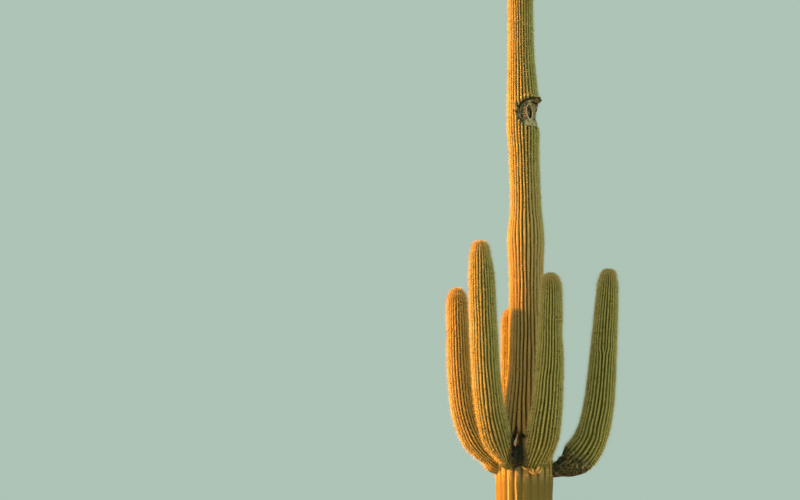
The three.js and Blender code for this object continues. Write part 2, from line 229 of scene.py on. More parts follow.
class Limb:
    """The shared rule of trunk and arms: ribs round an axis, addressed by length, rib and q."""

    def __init__(self, name, ribs, pairs, length, seed):
        self.name, self.ribs, self.pairs, self.length = name, ribs, pairs, length
        self.dice = np.random.default_rng(seed)
        self.phase = self.dice.uniform(0, FULL_TURN, (3, ribs))
        self.start = self.dice.uniform(0, 1, ribs)

    def levels(self):
        """Lengths of the skin's rings: stretches with their end and step, then the dome."""
        parts, low, dome_start = [], self.FIRST, self.length - self.DOME
        for high, step in self.STRETCHES:
            high = high or dome_start
            parts.append(np.linspace(low, high, max(2, round((high - low) / step) + 1))[:-1])
            low = high
        return np.concatenate([*parts, self.length - self.DOME * (1 - DOME_STEPS)])

    def dome(self, along):
        """Share of the girth that the domed tip leaves."""
        share = np.clip(1 - (self.length - along) / self.DOME, 0, 1)
        return np.sqrt(np.maximum(0, 1 - share**DOME_POWER))

    def inset(self, along):
        """How far the skin lies under the solids' outline, which the spines' tips fill out."""
        return SKIN_INSET + TIP_INSET * ease(0.16, 0.05, self.length - along)

    def edges(self, along):
        """Groove places round the limb, as shares of a turn, one row for each length."""
        widths = np.ones((len(along), self.ribs))
        for first, low, high in self.pairs:
            for member in (first, first + 1):
                widths[:, member] -= (1 - ease(low, high, along)) / 2
        widths /= widths.sum(1, keepdims=True)
        edges = np.concatenate([np.zeros((len(along), 1)), np.cumsum(widths, 1)], 1)
        wander = 0.09 * np.sin(along[:, None] * 5.1 + self.phase[0])
        wander += 0.06 * np.sin(along[:, None] * 13.7 + self.phase[1])
        wander /= self.ribs
        edges[:, :-1] += wander
        edges[:, -1] += wander[:, 0]
        return edges

    def crest_height(self, along, rib, q):
        height = crest_profile(q)
        for first, low, high in self.pairs:
            joined = 1 - ease(low, high, along)
            for member in (0, 1):
                pair_height = crest_profile((member + q) / 2)
                inside = height + (pair_height - height) * joined
                height = np.where(rib == first + member, inside, height)
        return height

    def skin(self, along, rib, q):
        """Points on the skin, their crest heights and their turns."""
        edges, rows = self.edges(along), np.arange(len(along))
        start, end = edges[rows, rib], edges[rows, rib + 1]
        turn = FULL_TURN * (start + q * (end - start))
        crest = self.crest_height(along, rib, q)
        return self.place(along, turn, crest, rib), crest, turn

    def crest_wobble(self, along, rib):
        slow = np.sin(along * 7.3 + self.phase[1][rib])
        return 0.0015 * np.sin(along * 31 + self.phase[2][rib]) * slow

    def marks(self, along, turn, girth):
        """Lift in metres, and the dark, pale, pink and grey shares, of this limb's marks."""
        totals = {key: np.zeros_like(along) for key in ("lift", *MARK_KINDS)}
        degrees = np.degrees(turn)
        for kind, turn0, along0, turn1, along1, half, lift in MARKS.get(self.name, []):
            half = half / 1000
            low, high = min(along0, along1) - 3 * half, max(along0, along1) + 3 * half
            near = np.flatnonzero((along > low) & (along < high))
            if not len(near):
                continue
            scale = math.pi / 180 * girth[near]
            x, y = wrapped(degrees[near] - turn0) * scale, along[near] - along0
            end_x, end_y = (turn1 - turn0) * scale, along1 - along0
            reach = np.maximum(end_x**2 + end_y**2, 1e-9)
            share = np.clip((x * end_x + y * end_y) / reach, 0, 1)
            distance = np.hypot(x - share * end_x, y - share * end_y)
            amount = np.exp(-((distance / half) ** 2.6))
            totals["lift"][near] += amount * lift / 1000
            totals[kind][near] = np.maximum(totals[kind][near], amount)
        return totals


def trunk_axis(height):
    sway = SWAY_OUT[0] * ease(*SWAY_OUT[1:], height) - SWAY_BACK[0] * ease(*SWAY_BACK[1:], height)
    return np.stack([sway, np.zeros_like(height), height], 1)


def axis_point(height):
    return trunk_axis(np.array([height]))[0]


class Trunk(Limb):
    MIRRORED, SLOT, DOME, PER_RIB, FIRST = False, "trunk_skin", 0.29, 8, 0
    STRETCHES = [
        (0.35, 0.018), (2.3, 0.036), (2.85, 0.012), (5.8, 0.038), (6.19, 0.005), (None, 0.036)]

    def __init__(self):
        self.nodes = ["trunk"]
        low, high = TRUNK_JOIN
        pairs = [
            (first, low + 0.06 * (index % 3), high - 0.07 * ((index + 1) % 3))
            for index, first in enumerate(TRUNK_PAIRS)
        ]
        super().__init__("trunk", TRUNK_RIBS, pairs, TRUNK_HEIGHT - TIP_DROP, SEED)

    def tip(self):
        return axis_point(self.length)

    def girth(self, height):
        return along_stations(TRUNK_GIRTH, height)

    def masks(self, height, turn):
        """Shares of scar, pocket and niche at each place of the skin, and the scar's ring."""
        bearing, girth = np.degrees(turn), self.girth(height)
        across = np.abs(wrapped(bearing - SCAR.bearing)) / SCAR.half_turn
        rise = height - SCAR.height
        ring = np.where(rise > 0, rise / SCAR.above, -rise / SCAR.below)
        ring = (across**SCAR.power + ring**SCAR.power) ** (1 / SCAR.power)

        def offset(spot):
            sideways = np.radians(wrapped(bearing - spot.bearing)) * girth
            return sideways / spot.half_width, (height - spot.height) / spot.half_height

        sideways, rise = offset(NEST)
        pocket = 1 - ease(0.72, 1.05, np.abs(sideways) + rise**2)
        niche = 1 - ease(0.6, 1.0, np.hypot(*offset(NICHE)))
        return 1 - ease(0.86, 1.0, ring), ring, pocket, niche

    def place(self, height, turn, crest, rib):
        dome, girth, bearing = self.dome(height), self.girth(height), np.degrees(turn)
        scar, ring, pocket, niche = self.masks(height, turn)
        depth = FOOT_RIB_DEPTH + (LOW_RIB_DEPTH - FOOT_RIB_DEPTH) * ease(0, 0.9, height)
        depth = (depth + (TRUNK_RIB_DEPTH - LOW_RIB_DEPTH) * ease(2.35, 3.0, height)) * dome
        crest = crest + (0.55 - crest) * scar * 0.9
        covered = (1 - scar) * (0.25 + 0.75 * ease(2.2, 2.6, height))
        radius = girth * dome - self.inset(height) * dome * covered
        radius = radius - depth * (1 - crest) + self.crest_wobble(height, rib) * crest * dome
        dent = bump_at(0, DENT.spread, wrapped(bearing - DENT.bearing), 4)
        radius -= dent * DENT.size * bump_at(DENT.height, DENT.half_height, height, 4)
        radius += dent * SWELL.size * bump_at(SWELL.height, SWELL.half_height, height)
        rightward = np.cos(turn)
        over_nest = ease(6.6, 6.2, height) * ease(6.1, 6.17, height)
        fuller = FULLER_RIGHT * ease(2.6, 3.2, height) + FULLER_OVER_NEST * over_nest
        radius += fuller * ease(-0.2, 0.8, rightward) * (1 - scar) * dome
        radius -= SLIMMER_LEFT * ease(-0.2, -0.9, rightward) * bump_at(5.0, 0.25, height)
        upper, left = ease(5.93, 6.07, height), ease(296, 278, bearing)
        sunken = SCAR.recess * upper + SCAR.left_recess * left * ease(5.84, 5.94, height)
        radius -= sunken * scar
        radius += SCAR.lip * bump_at(1.1, 0.07, ring) * upper * crest
        radius += self.marks(height, turn, girth)["lift"]
        radius = radius - NEST.depth * pocket - NICHE.depth * niche
        for arm in ARMS.values():
            across = np.radians(wrapped(bearing - arm.bearing)) * radius / (arm.neck * 1.5)
            upward = (height - arm.height - 0.02) / (arm.neck * 1.9)
            radius += ROOT_LIFT * np.exp(-(across**2 + upward**2) * 1.3)
        rough = np.stack([radius * np.cos(turn), radius * np.sin(turn), height], 1)
        radius += waves(rough, *TRUNK_WAVES) * dome
        radius += waves(rough, *SCAR_WAVES) * scar * (1 - pocket)
        bark = 1 - ease(0.15, 0.9, height)
        radius += waves(rough * [1, 1, 0.4], *BARK_WAVES) * bark * ease(0, 0.03, height)
        outward = np.stack([np.cos(turn), np.sin(turn), np.zeros_like(turn)], 1)
        return trunk_axis(height) + outward * radius[:, None]

    def shares(self, height, turn, crest):
        """The skin material's attributes at each place."""
        scar, ring, pocket, niche = self.masks(height, turn)
        marks, bearing = self.marks(height, turn, self.girth(height)), np.degrees(turn)
        fingers = bump_at(1.09, 0.05, ring) * ease(6.03, 6.09, height) * crest
        low = ease(2.45, 2.2, height)
        # warm: brighter brown skin, cut on the shaded right side above 5.3 m as painted shade.
        warm = 0.5 + 0.45 * ease(5.2, 4.4, height)
        # dark paints the nest hole's inside and the niche near-black as painted shade, with the
        # dark strokes.
        return dict(
            scar=np.maximum(scar, marks["grey"]), pale=np.maximum(marks["pale"], 0.7 * fingers),
            pink=marks["pink"], dark=np.maximum.reduce([pocket, niche * 0.95, marks["dark"]]),
            scab=0 * height, age=1 - ease(0.1, 1.3, height), low=low,
            # old paints shade over the sunlit side of the trunk's base.
            old=0.38 * low * bump_at(0, 35, wrapped(bearing - 225)),
            warm=warm * (1 - 0.85 * ease(278, 318, bearing) * ease(5.3, 5.8, height)))

    def takes_spines(self, height, turn):
        scar, _, _, niche = self.masks(height, turn)
        dark = self.marks(height, turn, self.girth(height))["dark"]
        return (scar < 0.3) & (niche < 0.3) & (dark < 0.4)


class Arm(Limb):
    MIRRORED, SLOT, DOME, PER_RIB, FIRST = True, "arm_skin", 0.17, 6, -ROOT_INSIDE
    STRETCHES = [(0.45, 0.014), (None, 0.028)]
    STEP = 0.004

    def __init__(self, name, seed):
        rule = self.rule = ARMS[name]
        self.nodes = [name + "_elbow", name + "_upright"]
        super().__init__(name, rule.ribs, rule.pairs, rule.length - TIP_DROP, seed)
        self.foot = axis_point(rule.height) * [1, 1, 0]
        bearing = math.radians(rule.bearing)
        self.outward = np.array([math.cos(bearing), math.sin(bearing), 0.0])
        self.side = np.array([-math.sin(bearing), math.cos(bearing), 0.0])
        steps = np.arange(-ROOT_INSIDE - self.STEP, self.length + 2 * self.STEP, self.STEP)
        heading = self.heading(steps)
        middle = (heading[1:] + heading[:-1]) / 2
        run = np.concatenate([[0], np.cumsum(np.cos(middle) * self.STEP)])
        rise = np.concatenate([[0], np.cumsum(np.sin(middle) * self.STEP)])
        self.steps = steps
        self.run = run - np.interp(0, steps, run) + rule.out
        self.rise = rise - np.interp(0, steps, rise) + rule.height

    def centre(self, along):
        """Points on the arm's axis."""
        run = np.interp(along, self.steps, self.run)[:, None]
        rise = np.interp(along, self.steps, self.rise)[:, None]
        return self.foot + run * self.outward + rise * UP

    def tip(self):
        return self.centre(np.array([self.length]))[0]

    def heading(self, along):
        leave, upright = self.rule.leave, self.rule.upright
        bend = np.exp(-((np.maximum(along, 0) / self.rule.turn) ** 1.5))
        levelled = leave * np.maximum(0.2, 1 + along / ROOT_LEVELLING)
        return np.radians(np.where(along < 0, levelled, upright + (leave - upright) * bend))

    def girth(self, along):
        rule = self.rule
        swollen = rule.neck + (rule.belly - rule.neck) * ease(0, rule.swell, along)
        tapered = np.maximum(0, (along - rule.swell) / (rule.length - rule.swell))
        narrowed = 1 - rule.narrowing * ease(NARROWING_LENGTH, 0, rule.length - along)
        return (swollen + (rule.shoulder - rule.belly) * tapered) * narrowed

    def scab(self, along, turn):
        """Share of dark scabby skin: strongest under the right outer arm's neck."""
        if self.name != "arm_right_outer":
            return (0.0 if self.rule.smooth_root else 0.35) * (1 - ease(-0.02, 0.14, along))
        under = 0.5 + 0.5 * np.sin(turn)
        return (1 - ease(0.15, 0.42 + 0.04 * under, along)) * (0.7 + 0.3 * under)

    def rightward(self, turn):
        """How far a place of the ring faces +X, from -1 to 1, on the upright part."""
        return self.side[0] * np.cos(turn) + self.outward[0] * np.sin(turn)

    def place(self, along, turn, crest, rib):
        rule, dome, scab = self.rule, self.dome(along), self.scab(along, turn)
        crest = crest + (0.5 - crest) * scab * 0.45
        radius = self.girth(along) * dome - self.inset(along) * dome * (1 - scab)
        rightward = self.rightward(turn)
        for to_tip, half, left, right in rule.bulges:
            lift = left * ease(0.0, -0.9, rightward) + right * ease(0.0, 0.9, rightward)
            radius += lift * bump_at(self.length - to_tip, half, along) * dome
        lift, middle, half = rule.under
        radius += lift * ease(0.0, 0.9, np.sin(turn)) * bump_at(middle, half, along)
        radius += self.marks(along, turn, radius)["lift"]
        root_depth = 0.2 if rule.smooth_root else 0.55
        depth = ARM_RIB_DEPTH * dome * (root_depth + (1 - root_depth) * ease(0, 0.35, along))
        depth = depth * (0.4 + 0.6 * ease(0.02, 0.14, self.length - along))
        radius = radius - depth * (1 - crest) + self.crest_wobble(along, rib) * crest * dome
        flatness = rule.flat + (1 - rule.flat) * ease(-ROOT_INSIDE, rule.swell, along)
        heading, centre = self.heading(along)[:, None], self.centre(along)
        inner = -np.sin(heading) * self.outward + np.cos(heading) * UP
        rough = centre + self.side * (radius * np.cos(turn))[:, None]
        rough = rough + inner * (radius * np.sin(turn))[:, None]
        radius = radius + waves(rough, *ARM_WAVES) * dome + waves(rough, *SCAB_WAVES) * scab
        sideways = self.side * (radius * np.cos(turn))[:, None]
        return centre + sideways + inner * (-radius * flatness * np.sin(turn))[:, None]

    def shares(self, along, turn, crest):
        """The skin material's attributes at each place."""
        rule, scab = self.rule, self.scab(along, turn)
        marks = self.marks(along, turn, self.girth(along))
        # old paints shade over the arm's lower part, less at a smooth root.
        share, full, none = rule.old
        old = share * ease(none, full, along)
        if rule.smooth_root:
            old = old * ease(0.0, 0.3, along)
        return dict(
            scar=marks["grey"], pale=marks["pale"], pink=marks["pink"],
            # dark also darkens the scab's underside: partly scab, partly painted shade under the
            # neck.
            dark=np.maximum(marks["dark"], 0.5 * scab * ease(0.1, 1.0, np.sin(turn))),
            scab=scab, age=0 * along, low=rule.smooth_root * ease(0.26, 0.02, along), old=old,
            # warm is cut on the arm's shaded right side as painted shade.
            warm=rule.warm * (1 - 0.8 * ease(-0.1, 0.7, self.rightward(turn))))

    def takes_spines(self, along, turn):
        scab_limit = 0.15 + 0.7 * self.dice.random(len(along))
        return (self.scab(along, turn) < scab_limit) & (along > 0.02)


def add_object(name, data):
    made = bpy.data.objects.new(name, data)
    bpy.context.scene.collection.objects.link(made)
    return made


def mesh_object(name, points, faces, materials, slots, smooth):
    """A mesh piece from arrays: points (n, 3), triangles (m, 3) and a material index for each."""
    mesh = bpy.data.meshes.new(name)
    mesh.vertices.add(len(points))
    mesh.vertices.foreach_set("co", np.ascontiguousarray(points, np.float32).ravel())
    mesh.loops.add(faces.size)
    mesh.loops.foreach_set("vertex_index", np.ascontiguousarray(faces, np.int32).ravel())
    mesh.polygons.add(len(faces))
    mesh.polygons.foreach_set("loop_start", np.arange(0, faces.size, 3, dtype=np.int32))
    for entry in materials:
        mesh.materials.append(entry)
    mesh.polygons.foreach_set("material_index", np.ascontiguousarray(slots, np.int32))
    mesh.polygons.foreach_set("use_smooth", np.full(len(faces), smooth))
    mesh.update(calc_edges=True)
    mesh.validate()
    return add_object(name, mesh)


def finish_piece(piece, slot, *nodes):
    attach(piece, "root")
    if nodes:
        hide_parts(*nodes)


def joined_piece(name, parts, materials, slot, *nodes, smooth=True):
    """One piece from parts of points, faces and each face's material index."""
    points, faces, slots = zip(*parts)
    offsets = np.cumsum([0] + [len(part) for part in points])
    faces = np.concatenate([part + offset for part, offset in zip(faces, offsets)])
    slots = np.concatenate(slots)
    piece = mesh_object(name, np.concatenate(points), faces, materials, slots, smooth)
    finish_piece(piece, slot, *nodes)


def grid_faces(rows, columns):
    """Triangles of a grid that closes round its columns."""
    row, column = np.meshgrid(np.arange(rows - 1), np.arange(columns), indexing="ij")
    low = (row * columns + column).ravel()
    low_next = (row * columns + (column + 1) % columns).ravel()
    high, high_next = low + columns, low_next + columns
    return np.concatenate([
        np.stack([low, low_next, high_next], 1), np.stack([low, high_next, high], 1)])


def tube_faces(rows, columns):
    """A grid's triangles and the fans that close both ends round the two points after it."""
    column = np.arange(columns)
    following, last, count = (column + 1) % columns, (rows - 1) * columns, rows * columns
    foot = np.stack([following, column, np.full(columns, count)], 1)
    top = np.stack([last + column, last + following, np.full(columns, count + 1)], 1)
    return np.concatenate([grid_faces(rows, columns), foot, top])


def build_skin(limb):
    """The limb's closed skin, with its attributes for the skin material."""
    levels, per_rib = limb.levels(), limb.PER_RIB
    columns = limb.ribs * per_rib
    rib = np.tile(np.repeat(np.arange(limb.ribs), per_rib), len(levels))
    q = np.tile(np.tile(np.arange(per_rib) / per_rib, limb.ribs), len(levels))
    along = np.repeat(levels, columns)
    points, crest, turn = limb.skin(along, rib, q)
    faces = tube_faces(len(levels), columns)
    if limb.MIRRORED:
        faces = faces[:, ::-1]
    ends = [points[:columns].mean(0), limb.tip()]
    slots = np.zeros(len(faces))
    piece = mesh_object(
        limb.name + "_skin", np.vstack([points, *ends]), faces, [SKIN], slots, True)
    shares = dict(
        crest=crest, beat=along / AREOLE_SPACING - limb.start[rib],
        tip=ease(0.12, 0.02, limb.length - along), stain_and_shade=cleft_stain_and_shade(points),
        **limb.shares(along, turn, crest))
    at_ends = {"crest": [0.5, 1.0], "tip": [0, 1]}
    for name, values in shares.items():
        made = piece.data.attributes.new(name, "FLOAT", "POINT")
        values = np.concatenate([values, at_ends.get(name, [0, 0])])
        made.data.foreach_set("value", np.ascontiguousarray(values, np.float32))
    finish_piece(piece, limb.SLOT, *limb.nodes)


class Graph:
    """A material's nodes: a call adds one and gives its output. Values are outputs or constants."""

    def __init__(self, name, specular=0.3):
        self.material = bpy.data.materials.new(name)
        self.material.use_nodes = True
        self.tree = self.material.node_tree
        self.shader = self.tree.nodes["Principled BSDF"].inputs
        self.shader["Specular IOR Level"].default_value = specular

    def put(self, socket, value):
        if isinstance(value, bpy.types.NodeSocket):
            self.tree.links.new(value, socket)
        else:
            socket.default_value = (*value, 1) if socket.type == "RGBA" else value

    def node(self, kind, inputs, output, **settings):
        made = self.tree.nodes.new("ShaderNode" + kind)
        for key, value in settings.items():
            setattr(made, key, value)
        for key, value in inputs.items():
            self.put(made.inputs[key], value)
        return made.outputs[output]

    def attribute(self, name):
        return self.node("Attribute", {}, "Fac", attribute_name=name)

    def stretched(self, place, stretch):
        return self.node("Mapping", {"Vector": place, "Scale": stretch}, "Vector")

    def noise(self, scale, detail=4.0, roughness=0.6, stretch=(1, 1, 1)):
        place = self.stretched(self.node("TexCoord", {}, "Object"), stretch)
        inputs = {"Vector": place, "Scale": scale, "Detail": detail, "Roughness": roughness}
        return self.node("TexNoise", inputs, "Fac")

    def cracks(self, scale, stretch):
        place = self.node("TexCoord", {}, "Object")
        shift = self.node("TexNoise", {"Vector": place, "Scale": 24.0, "Detail": 3.0}, "Color")
        place = self.node("Mix", {0: 0.04, 4: place, 5: shift}, 1, data_type="VECTOR")
        inputs = {"Vector": self.stretched(place, stretch), "Scale": scale}
        return self.node("TexVoronoi", inputs, "Distance", feature="DISTANCE_TO_EDGE")

    def math(self, operation, *values):
        return self.node("Math", dict(enumerate(values)), 0, operation=operation)

    def times(self, first, second):
        return self.math("MULTIPLY", first, second)

    def plus(self, first, second):
        return self.math("ADD", first, second)

    def remap(self, value, low, high, to_low=0.0, to_high=1.0):
        inputs = {
            "Value": value, "From Min": low, "From Max": high, "To Min": to_low, "To Max": to_high}
        return self.node("MapRange", inputs, "Result", interpolation_type="SMOOTHSTEP")

    def mix(self, share, low, high):
        return self.node("Mix", {0: share, 6: low, 7: high}, 2, data_type="RGBA")

    def over(self, colour, new, value, low, high, most=1.0):
        """The new colour over the given one, up to most as the value goes from low to high."""
        return self.mix(self.remap(value, low, high, 0.0, most), colour, new)

    def ramp(self, value, stops):
        output = self.node("ValToRGB", {"Fac": value}, "Color")
        entries = output.node.color_ramp.elements
        while len(entries) < len(stops):
            entries.new(0.5)
        for entry, (place, colour) in zip(entries, stops):
            entry.position = place
            entry.color = (*colour, 1)
        return output

    def bump(self, height, distance, strength, normal=None):
        inputs = {"Height": height, "Distance": distance, "Strength": strength}
        if normal is not None:
            inputs["Normal"] = normal
        return self.node("Bump", inputs, "Normal")

    def finish(self, colour, roughness, normal=None):
        self.put(self.shader["Base Color"], colour)
        self.put(self.shader["Roughness"], roughness)
        if normal is not None:
            self.put(self.shader["Normal"], normal)
        return self.material


# Skin colours, from groove to crest, and the healed, scabby and corky places; the near-black groove
# tones are partly painted shade in the grooves
GROOVE, FLANK, CREST = (0.02, 0.025, 0.002), (0.096, 0.122, 0.011), (0.57, 0.61, 0.205)
WARM_GROOVE, WARM_FLANK = (0.045, 0.03, 0.003), (0.21, 0.155, 0.032)
WARM_CREST = (0.58, 0.46, 0.2)
SUNNY_PATCH, TAN_STREAK = (0.19, 0.21, 0.048), (0.29, 0.24, 0.09)
TIP_FELT = (0.44, 0.33, 0.13)
LOW_SKIN, LOW_GROOVE = (0.186, 0.158, 0.034), (0.158, 0.13, 0.027)
PAINTED_SHADE_TONE, STAIN_AND_SHADE_TONE, SHADE_AND_DARK_SPOT_TONE = (0.06, 0.07, 0.018), (0.019, 0.034, 0.026), (0.008, 0.007, 0.004)
CALLUS_GREY, CALLUS_LIGHT = (0.1, 0.094, 0.062), (0.29, 0.26, 0.165)
CALLUS_PINK, CALLUS_PALE = (0.62, 0.4, 0.23), (0.56, 0.52, 0.31)
SCAB_DARK, SCAB_LIGHT = (0.012, 0.013, 0.007), (0.2, 0.24, 0.145)
BARK_BROWN, BARK_GREY = (0.21, 0.145, 0.08), (0.3, 0.255, 0.18)
BARK_DARK, BARK_CRACK = (0.13, 0.098, 0.06), (0.05, 0.036, 0.022)


def skin_material():
    g = Graph("saguaro_skin")
    crest, age, scar, scab, low = map(g.attribute, ("crest", "age", "scar", "scab", "low"))
    broad = g.noise(5.0, 3.0)
    fine = g.noise(90.0, 4.0, 0.65)
    streak = g.noise(30.0, 3.0, 0.6, (1, 1, 0.18))
    shifted = g.plus(crest, g.times(g.math("SUBTRACT", fine, 0.5), 0.3))
    colour = g.ramp(shifted, [(0.12, GROOVE), (0.52, FLANK), (0.74, FLANK), (0.95, CREST)])
    colour = g.over(colour, SUNNY_PATCH, broad, 0.35, 0.7, 0.4)
    colour = g.over(colour, TAN_STREAK, streak, 0.58, 0.82, 0.4)
    # Brighter brown ramp mixed in by warm: partly browning of the skin, partly painted light and
    # shade.
    warm = g.ramp(shifted, [(0.22, WARM_GROOVE), (0.5, WARM_FLANK), (0.82, WARM_CREST)])
    colour = g.mix(g.attribute("warm"), colour, warm)
    colour = g.mix(g.times(g.attribute("tip"), 0.85), colour, TIP_FELT)
    smoother = g.over(LOW_GROOVE, LOW_SKIN, shifted, 0.1, 0.6)
    smoother = g.over(smoother, BARK_BROWN, streak, 0.5, 0.8, 0.5)
    colour = g.mix(low, colour, smoother)
    # Painted shade: darker skin where old is set.
    colour = g.mix(g.attribute("old"), colour, PAINTED_SHADE_TONE)
    # The cleft's dark marking: partly staining, partly painted shade between the front arms.
    stain_and_shade_patches = g.plus(g.attribute("stain_and_shade"), g.times(streak, 0.5))
    colour = g.over(colour, STAIN_AND_SHADE_TONE, stain_and_shade_patches, 0.4, 1.0, 0.92)
    crack = g.cracks(30.0, (1, 1, 0.35))
    bark = g.over(BARK_BROWN, BARK_GREY, fine, 0.35, 0.65)
    bark = g.over(bark, BARK_DARK, streak, 0.35, 0.65, 0.6)
    split = g.times(g.remap(crack, 0.0, 0.09, 0.9, 0.0), g.remap(fine, 0.4, 0.62))
    bark = g.mix(split, bark, BARK_CRACK)
    uneven = g.plus(g.plus(age, g.times(broad, 0.5)), g.times(fine, 0.7))
    colour = g.over(colour, bark, uneven, 0.8, 1.45)
    callus = g.over(CALLUS_GREY, CALLUS_LIGHT, g.noise(45.0, 4.0, 0.7), 0.42, 0.62)
    colour = g.over(colour, callus, scar, 0.25, 0.75)
    for name, tone, most in (("pale", CALLUS_PALE, 0.6), ("pink", CALLUS_PINK, 0.7)):
        healed = g.over(tone, CALLUS_GREY, g.noise(120.0, 4.0, 0.7), 0.5, 0.75, most)
        colour = g.over(colour, healed, g.attribute(name), 0.15, 0.75)
    flecks = g.over(SCAB_DARK, SCAB_LIGHT, g.noise(30.0, 5.0, 0.8), 0.46, 0.62)
    patchy = g.plus(scab, g.times(g.noise(20.0, 6.0, 0.8), 1.3))
    colour = g.over(colour, flecks, patchy, 0.85, 1.4, 0.94)
    # Near-black by dark: painted shade in the nest hole, the niche, creases and under the scar's
    # lip, with some dark spots.
    colour = g.over(colour, SHADE_AND_DARK_SPOT_TONE, g.attribute("dark"), 0.15, 0.8, 0.93)
    beat = g.math("COSINE", g.times(g.attribute("beat"), FULL_TURN))
    knobs = g.times(g.times(beat, g.math("POWER", crest, 3.0)), g.math("SUBTRACT", 1.0, low))
    normal = g.bump(knobs, 0.003, 1.0)
    normal = g.bump(g.noise(55.0, 4.0, 0.6, (0.7, 0.7, 2.4)), 0.0016, 0.7, normal)
    rough_places = g.math("MAXIMUM", g.math("MAXIMUM", age, scar), scab)
    normal = g.bump(g.times(g.remap(crack, 0.0, 0.12), rough_places), 0.005, 0.8, normal)
    return g.finish(colour, g.remap(fine, 0.2, 0.8, 0.52, 0.74), normal)


def plain_material(name, colour, roughness):
    return Graph(name).finish(colour, roughness)


def callus_material(name, low, high, dark):
    g = Graph(name, 0.25)
    crack = g.cracks(60.0, (1, 1, 0.5))
    body = g.over(low, high, g.noise(35.0), 0.35, 0.65)
    body = g.mix(g.remap(crack, 0.0, 0.14, 0.8, 0.0), body, dark)
    normal = g.bump(g.remap(crack, 0.0, 0.2), 0.003, 0.8)
    normal = g.bump(g.noise(220.0, 4.0, 0.7), 0.0012, 0.6, normal)
    return g.finish(body, g.remap(g.noise(140.0), 0.3, 0.7, 0.6, 0.85), normal)


SKIN = skin_material()
SPINE_TONES = [
    plain_material("spine_straw", (0.71, 0.71, 0.35), 0.5),
    plain_material("spine_tan", (0.6, 0.52, 0.22), 0.5),
    plain_material("spine_grey", (0.55, 0.58, 0.33), 0.6),
    plain_material("spine_brown", (0.28, 0.22, 0.1), 0.55),
]
TAN, BROWN = 1, 3
FELT_TONES = [
    plain_material("felt_tan", (0.58, 0.53, 0.25), 0.9),
    plain_material("felt_brown", (0.36, 0.31, 0.13), 0.9),
    plain_material("felt_dark", (0.18, 0.15, 0.07), 0.9),
]
FELT_WEIGHTS = (0.66, 0.3, 0.04)
PAD_HALF = 0.0062
CENTRAL = Named(tilt=30, length=0.034, width=0.0015)
RADIAL = Named(tilt=66, length=0.022, shorter=0.012, width=0.0012)


def areoles(limb, low, high, spacing):
    """Areole places on every crest: length, turn, and point, outward, upward and across."""
    along, rib = [], []
    second_of_pair = {first + 1: (join + part) / 2 for first, join, part in limb.pairs}
    fine_from = high - 0.05
    steps = np.arange(low, fine_from, 0.002)
    steps = np.concatenate([steps, np.arange(fine_from, high, 0.0005)])
    surface = np.hypot(np.gradient(steps), np.gradient(limb.girth(steps) * limb.dome(steps)))
    closer = 0.7 + 0.3 * ease(0.03, 0.22, limb.length - steps)
    counted = np.cumsum(surface / (spacing * closer))
    for number in range(limb.ribs):
        numbers = np.arange(limb.start[number], counted[-1])
        numbers = numbers + limb.dice.normal(0, 0.06, len(numbers))
        places = np.interp(numbers, counted, steps)
        places = places[places > second_of_pair.get(number, -1)]
        along.append(places)
        rib.append(np.full(len(places), number))
    along, rib = np.concatenate(along), np.concatenate(rib)
    q = np.full(len(along), 0.5)
    for first, join, part in limb.pairs:
        joined = 1 - ease(join, part, along)
        q = np.where(rib == first, 0.5 + 0.5 * ease(0.5, 1.0, joined), q)
    points, _, turn = limb.skin(along, rib, q)
    step = np.minimum(0.003, (limb.length - along) * 0.4)
    upward = unit(limb.skin(along + step, rib, q)[0] - limb.skin(along - step, rib, q)[0])
    sideways = limb.place(along, turn + 0.02, crest_profile(q), rib)
    sideways = sideways - limb.place(along, turn - 0.02, crest_profile(q), rib)
    outward = unit(np.cross(sideways, upward) * (-1 if limb.MIRRORED else 1))
    return along, turn, [points, outward, upward, np.cross(outward, upward)]


def repeated(vertices, faces, tones):
    """Points, faces and material indices of a small shape that stands in many places."""
    count, corners = vertices.reshape(-1, *vertices.shape[-2:]).shape[:2]
    all_faces = np.array(faces)[None] + np.arange(count)[:, None, None] * corners
    all_faces = all_faces.reshape(-1, 3)
    return vertices.reshape(-1, 3), all_faces, np.repeat(tones, len(all_faces) // len(tones))


def felt_pads(place, size, tones):
    """A low closed four-sided cushion for each areole."""
    points, outward, upward, across = (part[:, None] for part in place)
    sides, half = 4, size[:, None, None]
    angles = (np.arange(sides) / sides * FULL_TURN)[None, :, None]
    ring = points - outward * 0.0012
    ring = ring + upward * (np.cos(angles) * half * 1.25) + across * (np.sin(angles) * half)
    top = points + outward * (half * 0.55)
    faces = [(side, (side + 1) % sides, sides) for side in range(sides)]
    faces += [(0, side + 1, side) for side in range(1, sides - 1)]
    return repeated(np.concatenate([ring, top], 1), faces, tones)


